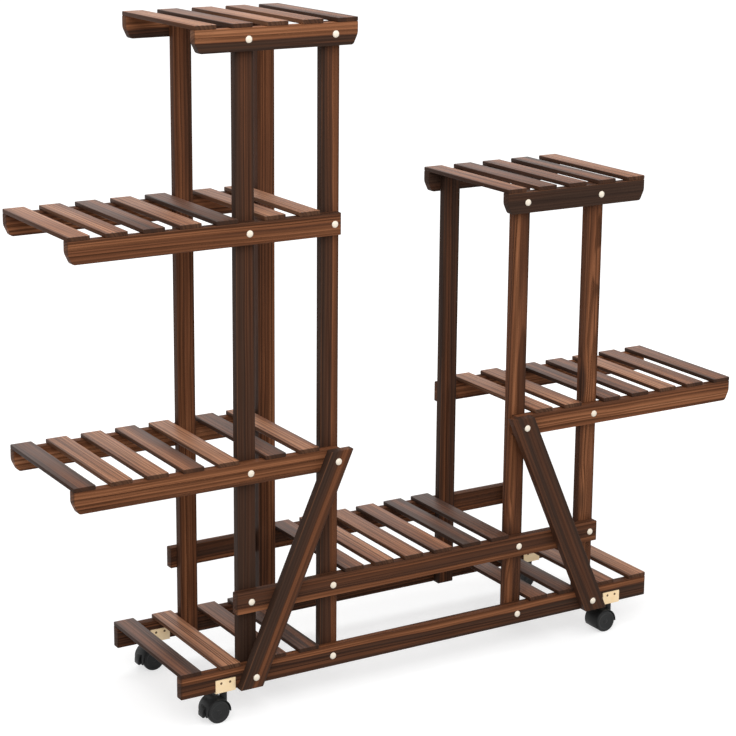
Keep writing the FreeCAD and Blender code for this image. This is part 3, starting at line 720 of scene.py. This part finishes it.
def hood_shape(axle, locking):
    """A moulded fork: a fender over both wheels, the web between them and the stem's boss, with or without a tab."""
    shape = bmesh.new()

    def point(x, z, y):
        return axle + Vector((x, y, z)) * MM

    def fender_loop(angle, wall=1.0, width=1.0):
        across, up = math.cos(math.radians(angle)), math.sin(math.radians(angle))
        section = [(FENDER_MIDDLE + (away - FENDER_MIDDLE) * wall, y * width) for away, y in FENDER_SECTION]
        return [point(away * across, away * up, y) for away, y in section]

    drop = LOCKING_DROP if locking else PLAIN_DROP
    stop = 180 + math.degrees(math.asin(drop / FENDER_MIDDLE))
    angles = [FENDER_FRONT + (stop - FENDER_FRONT) * index / FACETS for index in range(FACETS + 1)]
    skin(shape, [fender_loop(FENDER_FRONT - END_TURN, END_WALL, END_WIDTH), *map(fender_loop, angles),
                 fender_loop(stop + END_TURN, END_WALL, END_WIDTH)])
    skin(shape, circles(BOSS_SECTION, lambda x, y, height: point(x + TRAIL, height, y)))
    reach = math.degrees(math.asin(WEB_DROP / FENDER_MIDDLE))
    arc = [math.radians(-reach + (180 + 2 * reach) * index / FACETS) for index in range(FACETS + 1)]
    web = [(FENDER_MIDDLE * math.cos(turn), FENDER_MIDDLE * math.sin(turn)) for turn in arc]
    skin(shape, [[point(x, z, y) for x, z in web] for y in (-WEB_HALF, WEB_HALF)])
    if locking:
        shoulder = TAB_HALF - TAB_ROUND
        sides = [(-TAB_HALF, TAB_END), (-shoulder, 1.0), (shoulder, 1.0), (TAB_HALF, TAB_END)]
        skin(shape, [[point(TAB_MIDDLE + (x - TAB_MIDDLE) * size, z * size, y) for x, z in TAB_OUTLINE]
                     for y, size in sides])
    return shape


for row in ("front", "back"):
    for side in ("left", "right"):
        corner = f"{row}_{side}"
        axle = Vector([middle_of(f"{corner}_caster_axle", axis) for axis in range(3)])
        shape = hood_shape(axle, locking=side == "left")
        pieces = [("hood", shape, f"{corner}_swivel", "caster_plastic", HOOD_BLACK)]
        for place, outward in (("front", -1), ("back", 1)):
            low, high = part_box(f"{corner}_caster_{place}_wheel")
            inner = Vector((axle.x, high[1] if outward < 0 else low[1], axle.z))
            shape = wheel_shape(inner, outward)
            pieces.append((f"{place}_wheel", shape, f"{corner}_{place}_wheel", "wheel_plastic", WHEEL_BLACK))
        for ending, shape, body, slot, material in pieces:
            bmesh.ops.recalc_face_normals(shape, faces=shape.faces)
            node = f"{corner}_caster_{ending}"
            finish_piece(mesh_from(shape, node), f"{node}_moulding", body, slot, node, material=material)

# What is shown as it is in the CAD
CAD_FINISHES = {"insert_nuts": ZINC, "bracket": GOLD, "stem": STEEL, "axle": STEEL}
for name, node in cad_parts.items():
    for ending, material in CAD_FINISHES.items():
        if name.endswith(ending):
            node.data.materials.clear()
            node.data.materials.append(material)


# Studio

# Light of the sky, of the floor under the part and farther off, where its glow rises, and the floor's own tone
SKY_LIGHT, FLOOR_GLOW, FLOOR_GLOW_RISE, FLOOR_TONE, FLOOR_HALF = 0.62, 0.62, 0.2, 0.5, 30
GLOW_START, GLOW_STOP = 0.8, 2.0
# Each lamp's place, size and power. All aim at one point
LAMPS = {"key": ((-1.6, -2.4, 2.6), 2.4, 62), "fill": ((2.6, -2.4, 1.8), 2.4, 20), "top": ((0, 0.4, 3.6), 3.0, 48)}
LAMP_AIM = (0, 0, 0.5)
CAMERA_PLACE, CAMERA_PITCH, CAMERA_YAW = (-1.7634, -2.8052, 1.4042), -13.442, -29.362
CAMERA_SENSOR, CAMERA_LENS, CAMERA_SHIFT, CAMERA_REACH = 36, 101.39, (0.1004, -0.0952), 100


def white_seen_by(nodes, seen, unseen):
    """A level that is one value to what sees it directly, in gloss or through glass, and another to the rest."""
    rays = nodes.node("ShaderNodeLightPath", output=None)
    looks = [ray for ray in rays if ray.output.name in ("Is Camera Ray", "Is Glossy Ray", "Is Transmission Ray")]
    direct = nodes.sum("MAXIMUM", nodes.sum("MAXIMUM", looks[0], looks[1]), looks[2])
    return direct * (seen - unseen) + unseen


def studio():
    scene = bpy.context.scene
    scene.view_settings.view_transform = "Standard"
    world = bpy.data.worlds.new("studio")
    world.use_nodes = True
    scene.world = world
    sky = Nodes(world.node_tree)
    background = world.node_tree.nodes["Background"]
    background.inputs["Color"].default_value = (1, 1, 1, 1)
    sky.feed(background.inputs["Strength"], white_seen_by(sky, 1.0, SKY_LIGHT))

    floor_mesh = bpy.data.meshes.new("floor")
    floor_corners = [(x * FLOOR_HALF, y * FLOOR_HALF, 0) for x, y in ((-1, -1), (1, -1), (1, 1), (-1, 1))]
    floor_mesh.from_pydata(floor_corners, [], [(0, 1, 2, 3)])
    floor = bpy.data.objects.new("floor", floor_mesh)
    scene.collection.objects.link(floor)
    paper = Finish("floor_paper")
    distance = paper.vectors("LENGTH", paper.place(), output=1)
    glow = white_seen_by(paper, 1.0, 0.0) * (
        FLOOR_GLOW + paper.rise(distance, GLOW_START, GLOW_STOP) * FLOOR_GLOW_RISE)
    floor_mesh.materials.append(paper.set(
        Base_Color=(FLOOR_TONE, FLOOR_TONE, FLOOR_TONE, 1), Roughness=1.0, Specular_IOR_Level=0.0,
        Emission_Color=paper.vector(glow, glow, glow), Emission_Strength=1.0))

    for name, (place, size, power) in LAMPS.items():
        lamp = bpy.data.lights.new(name, "AREA")
        lamp.size, lamp.energy = size, power
        lamp_object = bpy.data.objects.new(name, lamp)
        lamp_object.location = place
        lamp_object.rotation_euler = (Vector(LAMP_AIM) - Vector(place)).to_track_quat("-Z", "Y").to_euler()
        scene.collection.objects.link(lamp_object)

    camera = bpy.data.cameras.new("camera")
    camera.sensor_width = CAMERA_SENSOR
    camera.lens = CAMERA_LENS
    camera.shift_x, camera.shift_y = CAMERA_SHIFT
    camera.clip_end = CAMERA_REACH
    camera_object = bpy.data.objects.new("camera", camera)
    camera_object.location = CAMERA_PLACE
    camera_object.rotation_euler = Euler((math.radians(90 + CAMERA_PITCH), 0, math.radians(CAMERA_YAW)))
    scene.collection.objects.link(camera_object)
    scene.camera = camera_object


studio()
